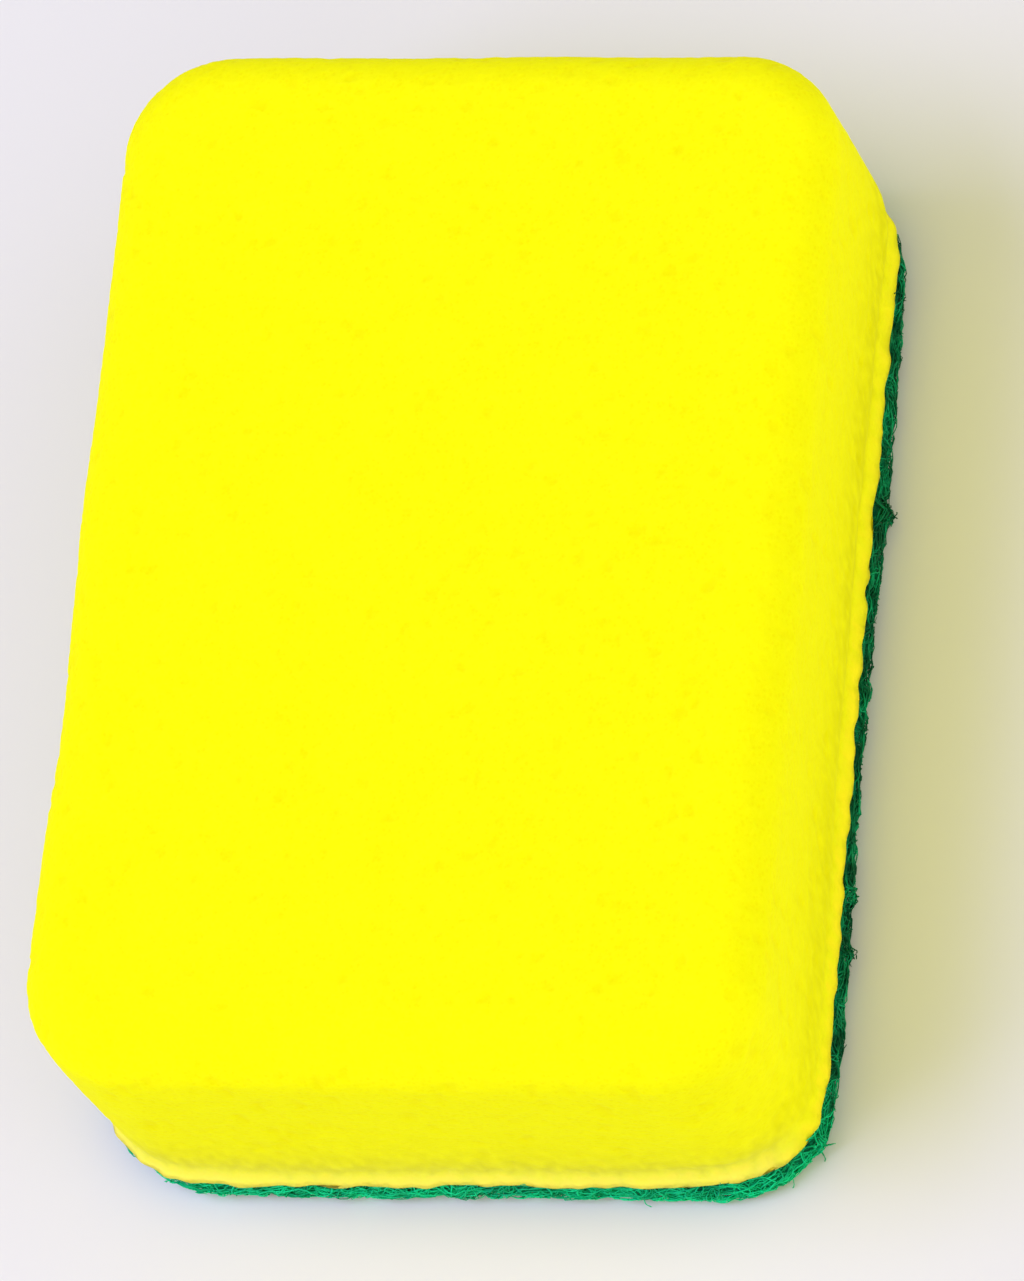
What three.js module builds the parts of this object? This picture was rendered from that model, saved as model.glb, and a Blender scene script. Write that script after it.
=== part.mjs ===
// A hand-held scouring sponge: a block of yellow polyurethane foam with a green
// non-woven scouring pad bonded to its underside by a thin layer of adhesive.
// The three layers are die-cut together under pressure. The foam springs back
// afterwards, which leaves a rounded top edge, a shallow waist round the middle
// of the wall and a small flare where the stiff pad holds the foam at its foot.
//
// Frame: millimetres, +X across the width, +Y along the length, +Z up. The origin
// is the centre of the pad's flat underside, which is the face that scours.
import * as THREE from "three";

// Driving dimensions.
const LENGTH = 110;
const WIDTH = 74.5;
const HEIGHT = 38;
const PAD_THICKNESS = 4.2;
const BOND_THICKNESS = 0.25;
const CORNER_RADIUS = 11; // of the pad's outline, seen from above

// How far each layer stands back from the pad's outline.
const FOAM_MARGIN = 0.15;
const BOND_MARGIN = 0.5;
const PAD_EDGE_WEAR = 0.3; // the cut edge leans in towards the underside

// The foam's wall, from the pad upwards.
const FLARE_HEIGHT = 4;
const WAIST_DEPTH = 0.7; // below the foam's outline at its foot
const WAIST_HEIGHT = 19;
const SHOULDER_DEPTH = 0.05;
const TOP_EDGE_RADIUS = 6.5;

// How finely curves are divided.
const CORNER_SEGMENTS = 6;
const PROFILE_SEGMENTS = 5;

const FOAM_BASE = PAD_THICKNESS + BOND_THICKNESS;

/** The outline of a layer, standing `margin` back from the pad's own outline. */
function layerOutline(margin) {
  const radius = CORNER_RADIUS - margin;
  const x = WIDTH / 2 - CORNER_RADIUS;
  const y = LENGTH / 2 - CORNER_RADIUS;
  const quarter = Math.PI / 2;
  const outline = new THREE.Shape();
  outline.absarc(x, y, radius, 0, quarter);
  outline.absarc(-x, y, radius, quarter, 2 * quarter);
  outline.absarc(-x, -y, radius, 2 * quarter, 3 * quarter);
  outline.absarc(x, -y, radius, 3 * quarter, 4 * quarter);
  outline.closePath();
  return outline;
}

/** Moves a point of a rounded outline inwards, square to the outline, by `inset`. */
function movedIn(point, inset) {
  const x = WIDTH / 2 - CORNER_RADIUS;
  const y = LENGTH / 2 - CORNER_RADIUS;
  const core = point.clone().clamp(new THREE.Vector2(-x, -y), new THREE.Vector2(x, y));
  const outwards = point.clone().sub(core);
  return core.add(outwards.setLength(outwards.length() - inset));
}

/**
 * A solid whose cross-section is the outline at every height. The profile is a path
 * in (inset, height), from the bottom face to the top face, and says how far the wall
 * stands in from the outline on the way up.
 */
function layerSolid(outline, profile) {
  const levels = profile.getPoints(PROFILE_SEGMENTS);
  const steps = levels.length - 1;
  const geometry = new THREE.ExtrudeGeometry(outline, {
    depth: steps,
    steps,
    curveSegments: CORNER_SEGMENTS,
    bevelEnabled: false,
  });
  const position = geometry.getAttribute("position");
  for (let i = 0; i < position.count; i++) {
    const level = levels[Math.round(position.getZ(i))];
    const point = new THREE.Vector2(position.getX(i), position.getY(i));
    const moved = movedIn(point, level.x);
    position.setXYZ(i, moved.x, moved.y, level.y);
  }
  geometry.computeVertexNormals();
  return geometry;
}

function scouringPad() {
  const profile = new THREE.Path();
  profile.moveTo(PAD_EDGE_WEAR, 0);
  profile.quadraticCurveTo(0, PAD_THICKNESS / 4, 0, PAD_THICKNESS / 2);
  profile.lineTo(0, PAD_THICKNESS);
  const web = new THREE.MeshStandardMaterial({ color: 0x0b7d4b, roughness: 0.85, metalness: 0 });
  return named("scouring_pad", layerSolid(layerOutline(0), profile), web);
}

function adhesiveLayer() {
  const geometry = new THREE.ExtrudeGeometry(layerOutline(BOND_MARGIN), {
    depth: BOND_THICKNESS,
    curveSegments: CORNER_SEGMENTS,
    bevelEnabled: false,
  });
  const glue = new THREE.MeshStandardMaterial({ color: 0xd8cf58, roughness: 0.5, metalness: 0 });
  const layer = named("adhesive_layer", geometry, glue);
  layer.position.z = PAD_THICKNESS;
  return layer;
}

function foamBlock() {
  const shoulder = HEIGHT - TOP_EDGE_RADIUS;
  const profile = new THREE.Path();
  profile.moveTo(0, FOAM_BASE);
  profile.bezierCurveTo(
    WAIST_DEPTH / 2, FOAM_BASE + FLARE_HEIGHT / 4,
    WAIST_DEPTH, FOAM_BASE + FLARE_HEIGHT,
    WAIST_DEPTH, WAIST_HEIGHT,
  );
  profile.bezierCurveTo(
    WAIST_DEPTH, (WAIST_HEIGHT + shoulder) / 2,
    SHOULDER_DEPTH, shoulder - TOP_EDGE_RADIUS / 2,
    SHOULDER_DEPTH, shoulder,
  );
  const clockwise = true;
  const edgeCentre = SHOULDER_DEPTH + TOP_EDGE_RADIUS;
  profile.absarc(edgeCentre, shoulder, TOP_EDGE_RADIUS, Math.PI, Math.PI / 2, clockwise);
  const foam = new THREE.MeshStandardMaterial({ color: 0xfff50a, roughness: 0.95, metalness: 0 });
  return named("foam_block", layerSolid(layerOutline(FOAM_MARGIN), profile), foam);
}

function named(name, geometry, material) {
  const mesh = new THREE.Mesh(geometry, material);
  mesh.name = name;
  return mesh;
}

const scouringSponge = new THREE.Group();
scouringSponge.add(scouringPad(), adhesiveLayer(), foamBlock());

export default scouringSponge;
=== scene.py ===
# The looks of the scouring sponge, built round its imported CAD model.
#
# The foam block is one closed skin with open cells sunk into it. The scouring pad is
# a lumpy body of matted web under thousands of separate fibres. Between the two lies
# a thin, uneven line of adhesive. All lengths are in metres.
import math

import bpy
import numpy as np
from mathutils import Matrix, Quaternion, Vector, noise


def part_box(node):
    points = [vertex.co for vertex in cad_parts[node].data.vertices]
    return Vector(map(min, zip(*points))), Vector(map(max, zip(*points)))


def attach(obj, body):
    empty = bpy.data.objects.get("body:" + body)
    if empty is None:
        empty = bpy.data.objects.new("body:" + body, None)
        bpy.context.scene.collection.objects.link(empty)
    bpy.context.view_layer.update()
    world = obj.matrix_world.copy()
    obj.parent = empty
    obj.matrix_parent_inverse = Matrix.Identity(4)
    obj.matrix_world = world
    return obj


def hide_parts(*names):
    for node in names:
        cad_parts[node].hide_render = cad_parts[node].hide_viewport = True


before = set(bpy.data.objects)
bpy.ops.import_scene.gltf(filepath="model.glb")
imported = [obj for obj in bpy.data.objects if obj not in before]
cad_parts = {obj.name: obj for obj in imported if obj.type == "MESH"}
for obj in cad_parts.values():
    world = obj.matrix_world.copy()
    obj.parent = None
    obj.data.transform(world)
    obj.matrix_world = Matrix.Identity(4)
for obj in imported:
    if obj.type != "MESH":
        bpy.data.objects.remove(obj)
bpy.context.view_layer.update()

MM = 0.001
pad_low, pad_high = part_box("scouring_pad")
bond_low, bond_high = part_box("adhesive_layer")
foam_low, foam_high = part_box("foam_block")
rng = np.random.default_rng(7)

# The outline that all three layers follow, seen from above.
CORNER_RADIUS = 11 * MM
FOAM_MARGIN = pad_high.x - foam_high.x
PAD_TOP = pad_high.z

# The foam block.
FOAM_FOOT = foam_low.z
FOAM_TOP = foam_high.z
TOP_EDGE_RADIUS = 6.5 * MM
SHOULDER = FOAM_TOP - TOP_EDGE_RADIUS
WAIST_DEPTH = 0.75 * MM  # the wall leans in towards its foot,
FLARE_HEIGHT = 0.7 * MM  # where the pad holds the foam out
CREASE_DEPTH = 0.15 * MM  # a crease along the wall, just above that
CREASE_HEIGHT = 1.9 * MM
GRID = 0.48 * MM  # the spacing of the foam's vertices
CELL_SIZE = 1.5 * MM
CELL_DEPTH = 0.22 * MM
GRAIN_SIZE = 0.9 * MM  # of the roughness between the cells
LUMP_SIZE = 14 * MM  # of the wide, soft unevenness of the whole block
LUMP_DEPTH = 0.25 * MM

# The scouring web and its fibres.
FIBRE_RADIUS = (0.05 * MM, 0.085 * MM)
FIBRE_SIDES = 3
FIBRE_POINTS = 11
EDGE_FIBRES = 2900
FACE_FIBRES = 2900
STRAY_ENDS = 40  # fibre ends that stand out here and there, all round the edge
WEB_INSET = 0.45 * MM  # the matted body lies this far behind the outermost fibres
FACE_MARGIN = 1.2 * MM  # the fibres of the underside keep this far from the outline

# Where the sponge is a little out of square: a place on it, how far the change reaches
# across and upwards from there, and how far it moves the surface, in millimetres.
PUSHES = (
    ((34, 52, 15), (10, 11), (0.45, 0.45, 0)),  # the far right corner is full half way up
    ((34, 52, 9), (10, 5), (0.5, 0.3, 0)),  # and fuller still near its foot,
    ((34, 52, 0), (8, 4), (-0.9, -0.8, 0)),  # and the pad is drawn in under it
    ((-34, -52, 0), (9, 3), (0.9, 0.8, 0)),  # and under the near left corner
    ((34, -52, 0), (10, 6), (0.25, -0.3, 0)),  # the near right corner spreads
    ((-16, -55, 2), (18, 9), (0, -0.45, 0)),  # so does the left half of the near side
    ((37, -36, 0), (14, 3), (0.4, 0, 0)),  # and the pad near that end of the right side,
    ((37, -34, 6), (14, 3), (0.25, 0, 0)),  # with the foam above it
    ((37, 22, 0), (16, 3), (0.25, 0, 0)),  # and the pad along the far half of it
    ((37, 14, 6), (38, 2.5), (-0.5, 0, 0)),  # the foam's foot is drawn in along the right
    ((29, -55, 6), (7, 2.5), (0, 0.65, 0)),  # and close to the near right corner
    ((24, 55, 36), (13, 9), (0, -0.4, 0)),  # the far edge of the top is hollow on the right
    ((-26, 55, 36), (9, 9), (0, 0.2, 0)),  # and full on the left
    ((-37, 5, 36), (8, 9), (-0.3, 0, 0)),  # the left edge is full half way along,
    ((-37, -16, 36), (9, 9), (0.35, 0, 0)),  # hollow after that
    ((-37, -42, 34), (9, 10), (-0.2, 0, 0)),  # and full again near its end
)


# ---------------------------------------------------------------- shapes

class Outline:
    """A rounded rectangle seen from above, as a line to walk along anticlockwise."""

    def __init__(self, half_x, half_y, radius):
        core = np.array([half_x - radius, half_y - radius])
        self.radius = radius
        self.corners = core * np.array([(1, -1), (1, 1), (-1, 1), (-1, -1), (1, -1)])
        self.straights = np.linalg.norm(np.diff(self.corners, axis=0), axis=1)
        self.arc = radius * math.pi / 2
        self.ends = np.cumsum(self.straights + self.arc)
        self.length = self.ends[-1]

    def at(self, distance, outwards=0.0):
        """The points at these distances along the line and outwards from it, and the
        directions straight out of it. It starts at the foot of the +X side."""
        distance = np.mod(distance, self.length)
        side = np.searchsorted(self.ends, distance, side="right")
        local = distance - (self.ends - self.straights - self.arc)[side]
        share = np.clip(local / self.straights[side], 0, 1)[..., None]
        core = self.corners[side] * (1 - share) + self.corners[side + 1] * share
        turn = side * math.pi / 2 + np.clip(local - self.straights[side], 0, None) / self.radius
        out = np.stack([np.cos(turn), np.sin(turn)], axis=-1)
        return core + out * (self.radius + np.asarray(outwards))[..., None], out

    def ring(self, spacing):
        """Evenly spaced distances round the line, which start in the middle of a corner,
        and how many lie on a Y side and on an X side."""
        counts = [round((straight + self.arc) / spacing) for straight in self.straights]
        starts = self.ends - self.straights - 1.5 * self.arc
        sides = [
            start + (straight + self.arc) * np.arange(count) / count
            for start, straight, count in zip(starts, self.straights, counts)
        ]
        return np.concatenate(sides), counts[0], counts[1]


def ease(value, low, high):
    """0 below low, 1 above high, and a smooth rise between them."""
    share = np.clip((value - low) / (high - low), 0, 1)
    return share * share * (3 - 2 * share)


def warp(places):
    """Moves points of the sponge from its even shape to its slightly uneven real one."""
    places = np.asarray(places)
    moved = places.copy()
    for centre, (across, up), move in PUSHES:
        away = (places / MM - centre) / (across, across, up)
        moved += np.exp(-np.sum(away**2, axis=-1))[..., None] * MM * move
    return moved


def ripple(places, size):
    """Smooth noise from -1 to 1 at each of these points, with lumps of about that size."""
    flat = np.reshape(places, (-1, 3)) / size
    return np.array([noise.noise(Vector(p)) for p in flat]).reshape(np.shape(places)[:-1])


def face_grid(ring, count_y, count_x):
    """A grid of points inside a closed ring of 2 * (count_y + count_x) points, spread
    between its four sides. Returns (count_y + 1, count_x + 1, 2) points."""
    closed = np.vstack([ring, ring[:1]])
    right = closed[: count_y + 1]
    far = closed[count_y : count_y + count_x + 1][::-1]
    left = closed[count_y + count_x : 2 * count_y + count_x + 1][::-1]
    near = closed[2 * count_y + count_x :]
    v = np.linspace(0, 1, count_y + 1)[:, None, None]
    u = np.linspace(0, 1, count_x + 1)[None, :, None]
    sides = (1 - v) * near + v * far + (1 - u) * left[:, None] + u * right[:, None]
    corners = (1 - v) * ((1 - u) * near[0] + u * near[-1]) + v * ((1 - u) * far[0] + u * far[-1])
    return sides - corners


def block_mesh(name, outline, levels, spacing, fine_top, fine_bottom):
    """A closed block over an outline. levels are (inset, height) pairs from its bottom
    to its top. A fine end face is a grid as dense as the wall; a plain one is one face."""
    distances, count_y, count_x = outline.ring(spacing)
    around = len(distances)
    points, faces = [], []
    for inset, height in levels:
        flat, _ = outline.at(distances, -inset)
        points.append(np.column_stack([flat, np.full(around, height)]))
    here = np.arange(around)
    after = (here + 1) % around
    for level in range(len(levels) - 1):
        low, high = level * around, (level + 1) * around
        faces.append(np.column_stack([low + here, low + after, high + after, high + here]))
    total = len(levels) * around
    lone_faces = []
    for fine, level, upwards in ((fine_top, len(levels) - 1, True), (fine_bottom, 0, False)):
        first = level * around
        if not fine:
            lone_faces.append((first + here)[:: 1 if upwards else -1].tolist())
            continue
        flat = face_grid(points[level][:, :2], count_y, count_x)
        index = np.full(flat.shape[:2], -1)
        index[:, -1] = first + here[: count_y + 1]
        index[-1, ::-1] = first + here[count_y : count_y + count_x + 1]
        index[::-1, 0] = first + here[count_y + count_x : 2 * count_y + count_x + 1]
        index[0, :-1] = first + here[2 * count_y + count_x :]
        inside = index < 0
        index[inside] = total + np.arange(inside.sum())
        total += inside.sum()
        height = levels[level][1]
        points.append(np.column_stack([flat[inside], np.full(inside.sum(), height)]))
        quads = np.stack([index[:-1, :-1], index[:-1, 1:], index[1:, 1:], index[1:, :-1]], axis=-1)
        quads = quads.reshape(-1, 4)
        faces.append(quads if upwards else quads[:, ::-1])
    mesh = bpy.data.meshes.new(name)
    mesh.from_pydata(np.vstack(points).tolist(), [], np.vstack(faces).tolist() + lone_faces)
    return mesh


def tube_mesh(name, paths, radii, facing, sides):
    """One mesh of many closed tubes. paths is (tubes, points, 3), radii (tubes, points),
    and facing holds a direction across each path, which keeps the tube from twisting."""
    tubes, count, _ = paths.shape
    along = np.gradient(paths, axis=1)
    across = np.cross(along, facing)
    across /= np.linalg.norm(across, axis=2, keepdims=True)
    third = np.cross(along, across)
    third /= np.linalg.norm(third, axis=2, keepdims=True)
    turns = np.arange(sides) * 2 * math.pi / sides
    ring = across[:, :, None] * np.cos(turns)[:, None] + third[:, :, None] * np.sin(turns)[:, None]
    points = paths[:, :, None] + ring * radii[:, :, None, None]
    index = np.arange(tubes * count * sides).reshape(tubes, count, sides)
    turned = np.roll(index, -1, axis=2)
    quads = np.stack([index[:, :-1], index[:, 1:], turned[:, 1:], turned[:, :-1]], axis=-1)
    caps = index[:, 0].tolist() + index[:, -1, ::-1].tolist()
    mesh = bpy.data.meshes.new(name)
    mesh.from_pydata(points.reshape(-1, 3).tolist(), [], quads.reshape(-1, 4).tolist() + caps)
    return mesh


def set_shape(mesh, places):
    """Gives a mesh's vertices their places, in the sponge's real shape."""
    mesh.vertices.foreach_set("co", warp(places).ravel())
    mesh.update()


def vertex_array(mesh, what="co"):
    """The places of a mesh's vertices, or their normals, as one array."""
    values = np.empty(len(mesh.vertices) * 3)
    mesh.vertices.foreach_get(what, values)
    return values.reshape(-1, 3)


def store(mesh, name, values):
    """Keeps one number for each vertex, for the material to read."""
    attribute = mesh.attributes.new(name, "FLOAT", "POINT")
    attribute.data.foreach_set("value", np.asarray(values, np.float32).ravel())


def piece(mesh, material):
    """Puts a finished mesh on the sponge's one body."""
    mesh.validate()
    mesh.polygons.foreach_set("use_smooth", [True] * len(mesh.polygons))
    mesh.materials.append(material)
    thing = bpy.data.objects.new(mesh.name, mesh)
    bpy.context.scene.collection.objects.link(thing)
    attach(thing, "root")
    return thing


# ---------------------------------------------------------------- materials

# A Mix node's sockets for colours: what it turns from, what it turns into, and its result.
MIX_FROM, MIX_INTO, MIX_RESULT = 6, 7, 2


class Nodes:
    """Short calls for building a material's node tree."""

    def __init__(self, name):
        self.material = bpy.data.materials.new(name)
        self.material.use_nodes = True
        self.tree = self.material.node_tree
        self.shader = self.tree.nodes["Principled BSDF"]

    def add(self, kind, inputs=(), **settings):
        """A node of that kind. inputs maps a socket's name or number to a value or to
        the output of another node."""
        node = self.tree.nodes.new("ShaderNode" + kind)
        for name, value in settings.items():
            setattr(node, name, value)
        for name, value in dict(inputs).items():
            self.put(node.inputs[name], value)
        return node

    def put(self, socket, value):
        if isinstance(value, bpy.types.NodeSocket):
            self.tree.links.new(value, socket)
        else:
            socket.default_value = value

    def maths(self, operation, first, second):
        return self.add("Math", {0: first, 1: second}, operation=operation).outputs[0]

    def mix(self, share, first, second):
        """One colour that turns into another as share goes from 0 to 1."""
        inputs = {"Factor": share, MIX_FROM: first, MIX_INTO: second}
        return self.add("Mix", inputs, data_type="RGBA").outputs[MIX_RESULT]

    def ramp(self, value, low, high):
        """0 where value is low, 1 where it is high."""
        settings = {"Value": value, "From Min": low, "From Max": high}
        return self.add("MapRange", settings, interpolation_type="SMOOTHSTEP").outputs[0]

    def noise(self, size, detail=2.0, roughness=0.5):
        place = self.add("TexCoord").outputs["Object"]
        settings = {"Vector": place, "Scale": 1 / size, "Detail": detail, "Roughness": roughness}
        return self.add("TexNoise", settings).outputs["Fac"]

    def cells(self, size):
        """How far it is to the middle of the nearest of many cells, each about that big."""
        place = self.add("TexCoord").outputs["Object"]
        settings = {"Vector": place, "Scale": 1 / size}
        return self.add("TexVoronoi", settings).outputs["Distance"]

    def stored(self, name):
        """A number that the mesh keeps for each of its vertices."""
        return self.add("Attribute", attribute_name=name).outputs["Fac"]

    def bump(self, height, depth, strength, below=None):
        settings = {"Height": height, "Distance": depth, "Strength": strength}
        if below is not None:
            settings["Normal"] = below
        return self.add("Bump", settings).outputs["Normal"]

    def finish(self, **sockets):
        """Fills in the shader's own sockets, named with _ for each space."""
        for name, value in sockets.items():
            self.put(self.shader.inputs[name.replace("_", " ")], value)
        return self.material


def foam_material():
    """Painted highlight on the struts and painted shade in the pores, over faint patches, with
    painted shade and painted highlights near the foot. Light goes a little way into the foam,
    except where adhesive fills its cells."""
    n = Nodes("foam_open_cell")
    depth = n.stored("depth")
    small_cells = n.cells(0.62 * MM)
    tiny_cells = n.cells(0.3 * MM)
    patches = n.noise(6 * MM, detail=3)
    strut_highlight = n.ramp(small_cells, 0.15, 0.6)
    pore_shade = n.ramp(small_cells, 0.38, 0.12)
    colour = n.mix(n.ramp(patches, 0.3, 0.7), (0.92, 0.90, 0.002, 1), (0.935, 0.925, 0.003, 1))
    # Painted highlight on the struts, painted shade in the pores and in the dips of the cells.
    colour = n.mix(n.maths("MULTIPLY", strut_highlight, 0.35), colour, (0.945, 0.935, 0.005, 1))
    colour = n.mix(n.maths("MULTIPLY", pore_shade, 0.3), colour, (0.87, 0.79, 0.001, 1))
    colour = n.mix(n.maths("MULTIPLY", depth, 0.4), colour, (0.89, 0.81, 0.001, 1))
    soaked_and_highlight = n.stored("soaked_and_highlight")
    # Painted shade: the wall is darker in a band above its foot.
    colour = n.mix(n.stored("wall_foot_shade"), colour, (0.75, 0.72, 0.001, 1))
    # The adhesive-soaked foot, whose brighter red is partly a painted highlight.
    colour = n.mix(soaked_and_highlight, colour, (1.0, 0.87, 0.012, 1))
    # Painted highlight: the wall pales towards white just above the foot.
    colour = n.mix(n.maths("MULTIPLY", n.stored("pale_foot_highlight"), 0.095), colour, (1, 1, 1, 1))
    relief = n.bump(small_cells, 0.16 * MM, 0.5)
    relief = n.bump(tiny_cells, 0.05 * MM, 0.35, below=relief)
    return n.finish(
        Base_Color=colour,
        Roughness=0.95,
        Specular_IOR_Level=0.03,
        Subsurface_Weight=n.maths("MULTIPLY", n.maths("SUBTRACT", 1.0, soaked_and_highlight), 0.7),
        Subsurface_Radius=(1.0, 0.95, 0.1),
        Subsurface_Scale=2 * MM,
        Sheen_Weight=0.02,
        Sheen_Roughness=0.3,
        Sheen_Tint=(1.0, 1.0, 0.9, 1),
        Normal=relief,
    )


def adhesive_material():
    """Dried adhesive, yellow with the foam in places and green with the web in others."""
    n = Nodes("dried_adhesive")
    patches = n.noise(1.5 * MM, detail=3)
    colour = n.mix(n.ramp(patches, 0.35, 0.65), (0.80, 0.72, 0.10, 1), (0.50, 0.55, 0.08, 1))
    return n.finish(
        Base_Color=colour,
        Roughness=n.maths("ADD", n.maths("MULTIPLY", patches, 0.3), 0.3),
        Specular_IOR_Level=0.4,
        Normal=n.bump(patches, 0.1 * MM, 0.5),
    )


def web_material():
    """The matted body of the pad: painted shade makes it dark in the dips between the fibres,
    lighter on its lumps.
    """
    n = Nodes("matted_web")
    strands = n.noise(0.35 * MM, detail=4, roughness=0.7)
    patches = n.noise(3 * MM, detail=2)
    colour = n.mix(n.ramp(patches, 0.3, 0.7), (0.001, 0.16, 0.07, 1), (0.002, 0.26, 0.12, 1))
    colour = n.mix(n.ramp(strands, 0.45, 0.7), colour, (0.003, 0.40, 0.18, 1))
    # Painted shade: the dips between the lumps are darker.
    colour = n.mix(n.stored("depth"), colour, (0.0005, 0.03, 0.022, 1))
    return n.finish(
        Base_Color=colour,
        Roughness=0.85,
        Specular_IOR_Level=0.08,
        Normal=n.bump(strands, 0.25 * MM, 0.8),
    )


def fibre_material():
    """Green fibres in a glossy resin, a little different from one to the next, with painted shade
    along the right side.
    """
    n = Nodes("resin_coated_fibre")
    grain = n.noise(0.25 * MM, detail=3, roughness=0.7)
    colour = n.mix(n.stored("light"), (0.001, 0.095, 0.035, 1), (0.003, 0.84, 0.35, 1))
    colour = n.mix(n.ramp(grain, 0.55, 0.75), colour, (0.001, 0.20, 0.09, 1))
    return n.finish(
        Base_Color=colour,
        Roughness=n.maths("ADD", n.maths("MULTIPLY", grain, 0.4), 0.45),
        Specular_IOR_Level=0.12,
        Normal=n.bump(grain, 0.05 * MM, 0.6),
    )


# ---------------------------------------------------------------- the foam block

def foam_levels():
    """(inset, height) up the foam's wall and over its rounded top edge."""
    heights = np.linspace(FOAM_FOOT, SHOULDER, round((SHOULDER - FOAM_FOOT) / GRID))
    above = heights - FOAM_FOOT
    insets = WAIST_DEPTH * (1 - ease(above / (SHOULDER - FOAM_FOOT), -0.3, 1.0))
    insets += CREASE_DEPTH * np.exp(-(((above - CREASE_HEIGHT) / (1.1 * MM)) ** 2))
    insets *= 1 - np.exp(-above / FLARE_HEIGHT)
    turns = np.linspace(0, math.pi / 2, round(TOP_EDGE_RADIUS * math.pi / 2 / GRID) + 1)[1:]
    edge_insets = TOP_EDGE_RADIUS * (1 - np.cos(turns))
    edge_heights = SHOULDER + TOP_EDGE_RADIUS * np.sin(turns)
    return list(zip(np.append(insets, edge_insets), np.append(heights, edge_heights)))


def open_cell(place, size):
    """How deep an open cell of the foam is here, from 0 on the struts between cells.
    The cells are taller than they are wide."""
    distances, centres = noise.voronoi(Vector((place.x, place.y, 0.45 * place.z)) / size)
    inside = ease(distances[1] - distances[0], 0.0, 0.55)
    open_share = ease(noise.noise(centres[0] * 7.3), -0.1, 0.5)
    return inside * open_share


def cell_depths(places):
    """How deep the surface dips at each of these points, for its cells and its grain."""
    depths = np.zeros(len(places))
    for i, place in enumerate(map(Vector, places)):
        depths[i] = open_cell(place, CELL_SIZE)
        depths[i] += 0.35 * noise.noise(place / GRAIN_SIZE)
    return depths


def foot_waves(places):
    """How far the foot of the foam moves to run in waves along the web it is bonded to."""
    foot = 1 - ease(places[:, 2], FOAM_FOOT, FOAM_FOOT + 2.0 * MM)
    flat = places * (1, 1, 0)
    out = flat / np.linalg.norm(flat, axis=1, keepdims=True)
    shifted = flat + np.array((0.3, 0.8, 0.6)) * MM
    moves = out * (0.45 * MM * foot * ripple(shifted, 1.9 * MM))[:, None]
    moves[:, 2] = 0.4 * MM * foot * (ripple(shifted, 2.4 * MM) - 0.3)
    return moves


def stain_wall(mesh, places):
    """Stores where adhesive has changed the colour of the wall, and where painted shade and painted
    highlights lie on it.
    """
    # Adhesive has soaked into the very foot and makes it paler, a colour that is partly a painted
    # highlight, with a pale painted highlight above that. The right side has little of that
    # highlight, and its far half is soaked less.
    above = places[:, 2] - FOAM_FOOT
    tall = places * (1, 1, 0.4)
    edge = above + 0.9 * MM * ripple(tall, 1.2 * MM)
    right_side = ease(places[:, 0], foam_high.x - 6 * MM, foam_high.x - 1 * MM)
    far_right = right_side * ease(places[:, 1], -20 * MM, 15 * MM)
    soaked_and_highlight = 1 - ease(edge, 0.2 * MM, (1.9 - 0.3 * right_side) * MM)
    soaked_and_highlight *= (1 - 0.35 * far_right) * (0.9 + 0.7 * ripple(tall, 0.7 * MM))
    store(mesh, "soaked_and_highlight", np.clip(soaked_and_highlight, 0, 1))
    store(mesh, "pale_foot_highlight", (1 - 0.93 * right_side) * np.exp(-np.clip(above, 0, None) / (2.6 * MM)))
    # Painted shade darkens the wall above the foot, up to this height. The band is wider
    # on the right side, and faint at its near end.
    height = (3.6 + 3.4 * right_side) * MM
    fade = (4.4 + 2.1 * right_side) * MM
    wall_foot_shade = ease(edge, 0.8 * MM, 2.5 * MM)
    wall_foot_shade *= np.exp(-np.clip(above - height, 0, None) / fade)
    wall_foot_shade *= 1 - 0.35 * (right_side - far_right)
    wall_foot_shade *= 0.85 + 0.7 * ripple(tall, 0.9 * MM)
    store(mesh, "wall_foot_shade", np.clip(wall_foot_shade, 0, 1))


def foam_body():
    """The whole block of foam, with its cells, its unevenness and its wavy foot."""
    outline = Outline(foam_high.x, foam_high.y, CORNER_RADIUS - FOAM_MARGIN)
    mesh = block_mesh("foam_body", outline, foam_levels(), GRID, fine_top=True, fine_bottom=False)
    places, normals = vertex_array(mesh), vertex_array(mesh, "normal")
    depths = cell_depths(places)
    relief = CELL_DEPTH * depths + LUMP_DEPTH * (ripple(places, LUMP_SIZE) + 0.6)
    relief *= ease(places[:, 2], FOAM_FOOT, FOAM_FOOT + 1.0 * MM)
    places -= normals * relief[:, None]
    places += foot_waves(places)
    set_shape(mesh, places)
    # How deep each dip is, which the material darkens as painted shade.
    store(mesh, "depth", np.clip(depths, 0, 1))
    stain_wall(mesh, places)
    body = piece(mesh, foam_material())
    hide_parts("foam_block")


# ---------------------------------------------------------------- the adhesive

def adhesive_line():
    """A thin, uneven line between the two layers, mostly hidden by the foot of the foam."""
    outline = Outline(foam_high.x, foam_high.y, CORNER_RADIUS - FOAM_MARGIN)
    low, high = bond_low.z - 0.3 * MM, bond_high.z + 0.1 * MM
    edge = 0.12 * MM
    levels = [(1.0 * MM, low), (0.6 * MM, low + edge), (0.7 * MM, high - edge), (1.1 * MM, high)]
    mesh = block_mesh("adhesive_line", outline, levels, 0.6 * MM, fine_top=False, fine_bottom=False)
    places, normals = vertex_array(mesh), vertex_array(mesh, "normal")
    places[:, :2] += normals[:, :2] * (0.3 * MM * ripple(places, 1.7 * MM))[:, None]
    set_shape(mesh, places)
    line = piece(mesh, adhesive_material())
    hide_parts("adhesive_layer")


# ---------------------------------------------------------------- the scouring pad

pad_outline = Outline(pad_high.x, pad_high.y, CORNER_RADIUS)
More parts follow.
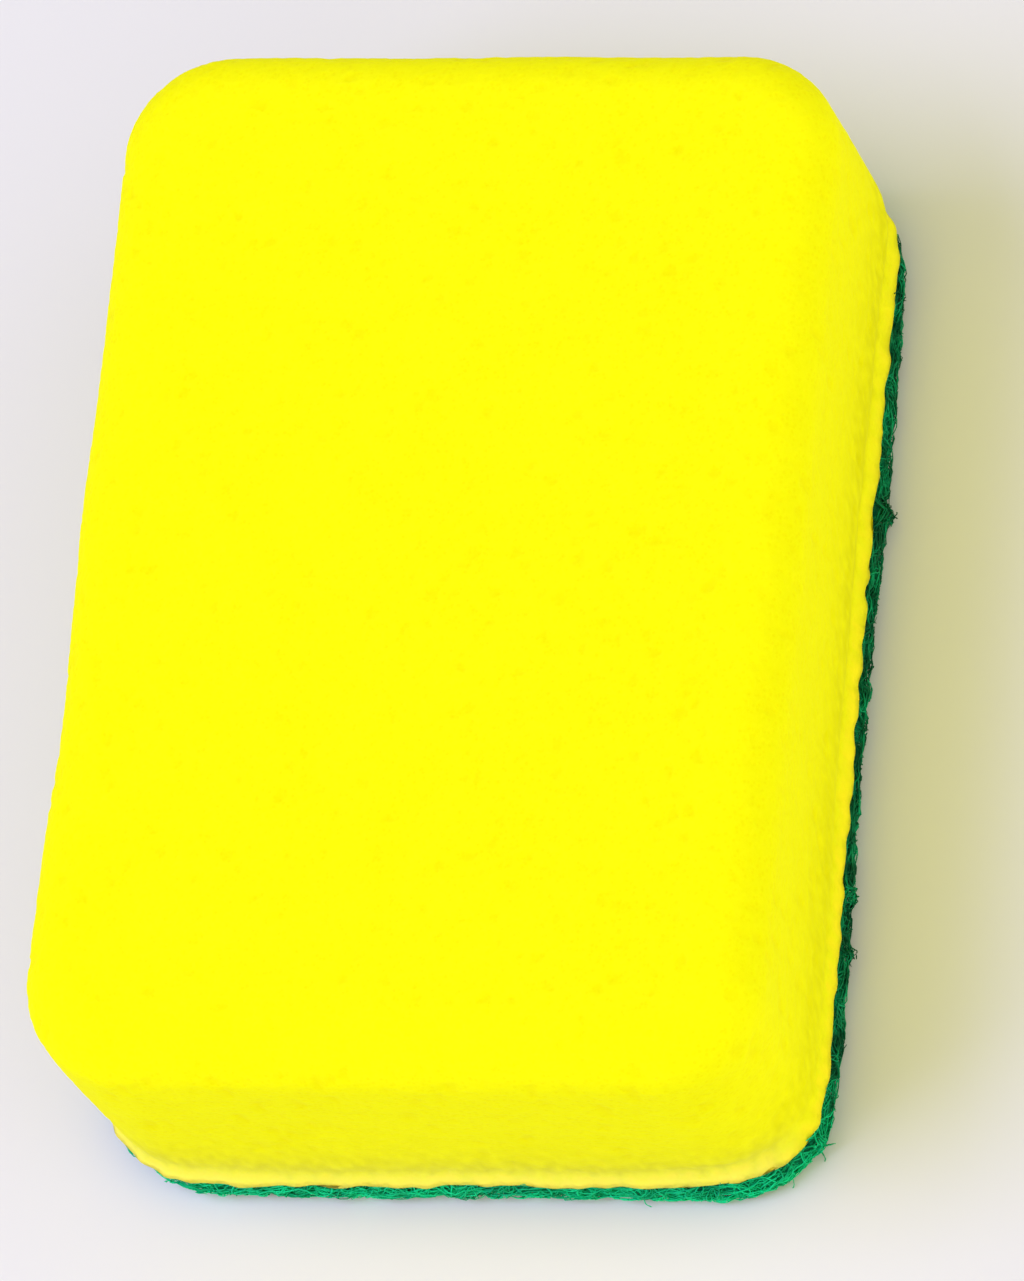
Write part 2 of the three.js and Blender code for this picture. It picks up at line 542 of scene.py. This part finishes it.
# Tufts of fibres that stand out from the edge: three on the right side and one on the
# corner before it. Each is a share of the way round the outline, how far it stands out,
# and how many of its ends have worked free.
TUFTS = (
    (0.176, 1.1 * MM, 20),
    (0.059, 0.4 * MM, 5),
    (0.0415, 0.4 * MM, 5),
    (0.985, 0.5 * MM, 8),
)


def edge_lean(heights):
    """How far the pad's cut edge stands in from its outline at these heights: it leans
    in towards the underside and shrinks back a little under the foam."""
    foot = 0.6 * MM * (1 - ease(heights, 0, 0.45 * PAD_TOP))
    return foot + 0.45 * MM * ease(heights, 0.66 * PAD_TOP, 0.95 * PAD_TOP)


def edge_lumps(places):
    """How far out the matted fibres of the cut edge stand here: they run in soft waves,
    with small hollows between the clumps."""
    flat = places * (1, 1, 0)
    hollows = ease(ripple(places * (1, 1, 0.8), 1.1 * MM), 0.05, 0.5)
    lumps = 0.25 * MM * ripple(flat + 0.05, 2.6 * MM) - 0.4 * MM * hollows
    for share, rise, _ in TUFTS:
        centre, _ = pad_outline.at(np.array(share * pad_outline.length))
        away = np.linalg.norm(flat[..., :2] - centre, axis=-1) / (0.75 * MM)
        lumps += rise * np.exp(-(away**2))
    return lumps


def web_body():
    """The matted body of the pad, with dips between its lumps of fibre."""
    outline = Outline(pad_high.x - WEB_INSET, pad_high.y - WEB_INSET, CORNER_RADIUS - WEB_INSET)
    heights = np.linspace(0.35 * MM, PAD_TOP - 0.1 * MM, 10)
    rim = 0.5 * MM
    levels = [(edge_lean(heights[0]) + rim, heights[0] - 0.05 * MM)]
    levels += [(edge_lean(height), height) for height in heights]
    mesh = block_mesh("web_body", outline, levels, 0.5 * MM, fine_top=False, fine_bottom=True)
    places, normals = vertex_array(mesh), vertex_array(mesh, "normal")
    dips = np.zeros(len(places))
    for i, place in enumerate(map(Vector, places)):
        distances, _ = noise.voronoi(place / (1.3 * MM))
        dips[i] = 0.6 * (0.75 - distances[0]) + 0.5 * noise.noise(place / (0.7 * MM))
    dips = np.clip(dips, 0, 1)
    covered = ease(places[:, 2], PAD_TOP - 0.2 * MM, PAD_TOP - 0.1 * MM)
    places -= normals * (0.9 * MM * dips * (1 - covered))[:, None]
    set_shape(mesh, places)
    # How deep each dip is, which the material darkens as painted shade.
    store(mesh, "depth", ease(dips, 0.15, 0.7))
    body = piece(mesh, web_material())
    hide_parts("scouring_pad")


def wandering(count, points, step, curl, upright):
    """Paths that curl about on a plane, from 0. upright, from 0 to 1, is how readily
    they climb along its second axis."""
    heading = rng.uniform(0, 2 * math.pi, (count, 1))
    bends = rng.normal(0, curl, (count, 1)) + rng.normal(0, curl, (count, points))
    headings = heading + np.cumsum(bends, axis=1)
    steps = step * np.stack([np.cos(headings), upright * np.sin(headings)], axis=-1)
    return np.cumsum(steps, axis=1)


def fold(values, low, high):
    """Keeps values between low and high by turning back the ones that pass them."""
    span = high - low
    return low + span - np.abs(np.mod(values - low, 2 * span) - span)


def fibre_waves(count, points):
    """From -1 to 1 along each fibre, in waves of a length of its own."""
    pace = rng.uniform(0.6, 1.8, (count, 1))
    start = rng.uniform(0, 6, (count, 1))
    return np.sin(np.arange(points) * pace + start)


def raised(flat, heights):
    """Points seen from above, put at these heights."""
    return np.concatenate([flat, heights[..., None]], axis=-1)


def fibre_radii(count, points):
    """Resin gathers in beads along a fibre, and its cut ends are blunt."""
    radii = rng.uniform(*FIBRE_RADIUS, (count, 1)) * rng.uniform(0.8, 1.35, (count, points))
    radii[:, [0, -1]] *= 0.5
    return radii


def fibre_piece(name, paths, facing, material):
    """A piece of many fibres. The resin on them is thinner and lighter in places, and painted
    shade darkens them along the right side."""
    count, points, _ = paths.shape
    mesh = tube_mesh(name, warp(paths), fibre_radii(count, points), facing, FIBRE_SIDES)
    # Painted shade: fibres along the right side, away from its near corner, are darker.
    right_side = ease(paths[..., 0], pad_high.x - 4 * MM, pad_high.x - 1 * MM)
    right_side *= ease(paths[..., 1], pad_low.y + 3 * MM, pad_low.y + 16 * MM)
    light = 0.72 - 0.62 * right_side + rng.uniform(-0.15, 0.15, (count, 1))
    light += 0.5 * ripple(paths, 2.2 * MM)
    store(mesh, "light", np.repeat(np.clip(light, 0, 1).ravel(), FIBRE_SIDES))
    piece(mesh, material)


def edge_fibres(material):
    """Fibres matted along the cut edge, from the underside up to the foam."""
    count, points = EDGE_FIBRES, FIBRE_POINTS
    plane = wandering(count, points, step=0.8 * MM, curl=0.28, upright=0.55)
    along = plane[..., 0] + rng.uniform(0, pad_outline.length, (count, 1))
    high = PAD_TOP + 0.25 * MM * rng.uniform(-0.6, 1, (count, 1))
    heights = fold(plane[..., 1] + rng.uniform(0, PAD_TOP, (count, 1)), 0.15 * MM, high)
    waves = 0.12 * MM * fibre_waves(count, points)
    outwards = rng.uniform(-0.5, 0.16, (count, 1)) * MM + waves - edge_lean(heights)
    flat, out = pad_outline.at(along, outwards)
    paths = raised(flat, heights)
    paths[..., :2] += out * edge_lumps(paths)[..., None]
    facing = raised(out, np.zeros((count, points)))
    fibre_piece("web_edge_fibres", paths, facing, material)


def face_fibres(material):
    """Fibres matted over the underside."""
    count, points = FACE_FIBRES, FIBRE_POINTS
    plane = wandering(count, points, step=1.35 * MM, curl=0.3, upright=1.0)
    reach = np.array([pad_high.x, pad_high.y]) - FACE_MARGIN
    starts = rng.uniform(-1, 1, (count, 1, 2)) * reach
    flat = fold(plane + starts, -reach, reach)
    # Points in the square corners move in to the rounded ones.
    core = np.clip(flat, -reach + CORNER_RADIUS, reach - CORNER_RADIUS)
    out = flat - core
    far = np.linalg.norm(out, axis=-1, keepdims=True)
    flat = core + out * np.minimum(1, (CORNER_RADIUS - FACE_MARGIN) / np.maximum(far, 1e-9))
    waves = 0.12 * MM * fibre_waves(count, points)
    heights = 0.28 * MM + rng.uniform(0, 0.35, (count, 1)) * MM + waves
    paths = raised(flat, heights)
    facing = np.zeros_like(paths)
    facing[..., 2] = -1
    fibre_piece("web_face_fibres", paths, facing, material)


def loose_fibres(material):
    """Ends that have worked free: a few all round the edge, and some on its tufts."""
    points = 9
    length = pad_outline.length
    starts = rng.uniform(0, length, STRAY_ENDS)
    for share, _, count in TUFTS:
        starts = np.append(starts, length * share + rng.normal(0, 0.45 * MM, count))
    count = len(starts)
    reach = rng.uniform(0.5, 1.0, (count, 1)) * MM
    reach[:STRAY_ENDS] *= 0.5
    along_step = rng.uniform(-0.25, 0.25, (count, 1)) * MM
    swing = rng.normal(0, 0.09, (count, points)) * MM
    share = np.linspace(0, 1, points)
    along = starts[:, None] + along_step * share * 4 + np.cumsum(swing, axis=1)
    outwards = -0.5 * MM + (reach + 0.5 * MM) * np.sin(share * rng.uniform(1.3, 2.1, (count, 1)))
    climb = rng.uniform(-0.9, 0.9, (count, 1)) * MM
    heights = rng.uniform(0.8, 3.4, (count, 1)) * MM + climb * share
    heights += np.cumsum(rng.normal(0, 0.1, (count, points)), axis=1) * MM
    flat, out = pad_outline.at(along, outwards)
    paths = raised(flat, np.maximum(heights, 0.2 * MM))
    facing = np.stack([-out[..., 1], out[..., 0], np.full((count, points), 0.5)], axis=-1)
    fibre_piece("web_loose_fibres", paths, facing, material)


# ---------------------------------------------------------------- stage, light and camera

def stage_floor():
    half = 3.0
    mesh = bpy.data.meshes.new("floor")
    corners = [(-half, -half, 0), (half, -half, 0), (half, half, 0), (-half, half, 0)]
    mesh.from_pydata(corners, [], [(0, 1, 2, 3)])
    n = Nodes("pale_floor")
    colour = n.mix(n.noise(0.3), (0.755, 0.75, 0.74, 1), (0.765, 0.76, 0.75, 1))
    mesh.materials.append(n.finish(Base_Color=colour, Roughness=0.7, Specular_IOR_Level=0.2))
    floor = bpy.data.objects.new("floor", mesh)
    bpy.context.scene.collection.objects.link(floor)


def soft_light(name, azimuth, elevation, distance, size, watts, colour):
    """A square light that faces the sponge. Azimuth 0 is in front of it, on the -Y side,
    and turns anticlockwise from above, in degrees."""
    a, e = math.radians(azimuth), math.radians(elevation)
    away = Vector((math.sin(a) * math.cos(e), -math.cos(a) * math.cos(e), math.sin(e)))
    light = bpy.data.lights.new(name, "AREA")
    light.size = size
    light.energy = watts
    light.color = colour
    lamp = bpy.data.objects.new(name, light)
    lamp.location = away * distance
    lamp.rotation_mode = "QUATERNION"
    lamp.rotation_quaternion = away.to_track_quat("Z", "Y")
    bpy.context.scene.collection.objects.link(lamp)


def lighting():
    """A cool key light over the left side, in a warm room that lights all sides softly."""
    soft_light(
        "key",
        azimuth=-70,
        elevation=55,
        distance=1.2,
        size=0.8,
        watts=13.2,
        colour=(0.546, 0.535, 1.0),
    )
    world = bpy.data.worlds.new("studio")
    world.use_nodes = True
    tree = world.node_tree
    room = tree.nodes["Background"]
    room.inputs["Strength"].default_value = 1.7
    place = tree.nodes.new("ShaderNodeTexCoord")
    # The room is brightest on the right, a little towards the near side.
    towards = tree.nodes.new("ShaderNodeVectorMath")
    towards.operation = "DOT_PRODUCT"
    towards.inputs[1].default_value = (0.93, -0.368, 0)
    colour = tree.nodes.new("ShaderNodeMix")
    colour.data_type = "RGBA"
    colour.inputs[MIX_FROM].default_value = (0.331, 0.321, 0.214, 1)
    colour.inputs[MIX_INTO].default_value = (0.944, 0.916, 0.72, 1)
    tree.links.new(place.outputs["Generated"], towards.inputs[0])
    tree.links.new(towards.outputs["Value"], colour.inputs["Factor"])
    tree.links.new(colour.outputs[MIX_RESULT], room.inputs["Color"])
    bpy.context.scene.world = world


def camera():
    """A long lens from above and to the right of the near end, tilted so that the
    sponge stands almost upright in the picture."""
    azimuth, elevation, roll = (math.radians(d) for d in (36.0, 64.2, -33.1))
    distance = 1.0223
    back = Vector((
        math.sin(azimuth) * math.cos(elevation),
        -math.cos(azimuth) * math.cos(elevation),
        math.sin(elevation),
    ))
    turn = (-back).to_track_quat("-Z", "Y") @ Quaternion((0, 0, 1), roll)
    # The sponge sits a little left of the picture's middle and above it.
    off_centre = turn @ Vector((4.2 * MM, -2.5 * MM, 0))
    data = bpy.data.cameras.new("camera")
    data.lens = 288.4
    data.sensor_width = 36.0
    data.clip_start, data.clip_end = 0.05, 20.0
    eye = bpy.data.objects.new("camera", data)
    eye.rotation_mode = "QUATERNION"
    eye.rotation_quaternion = turn
    eye.location = Vector((0, 0, FOAM_TOP / 2)) + off_centre + back * distance
    bpy.context.scene.collection.objects.link(eye)
    bpy.context.scene.camera = eye


camera()
lighting()
stage_floor()
foam_body()
adhesive_line()
web_body()
fibre = fibre_material()
edge_fibres(fibre)
face_fibres(fibre)
loose_fibres(fibre)

settings = bpy.context.scene.view_settings
settings.view_transform = "Standard"
settings.look = "None"
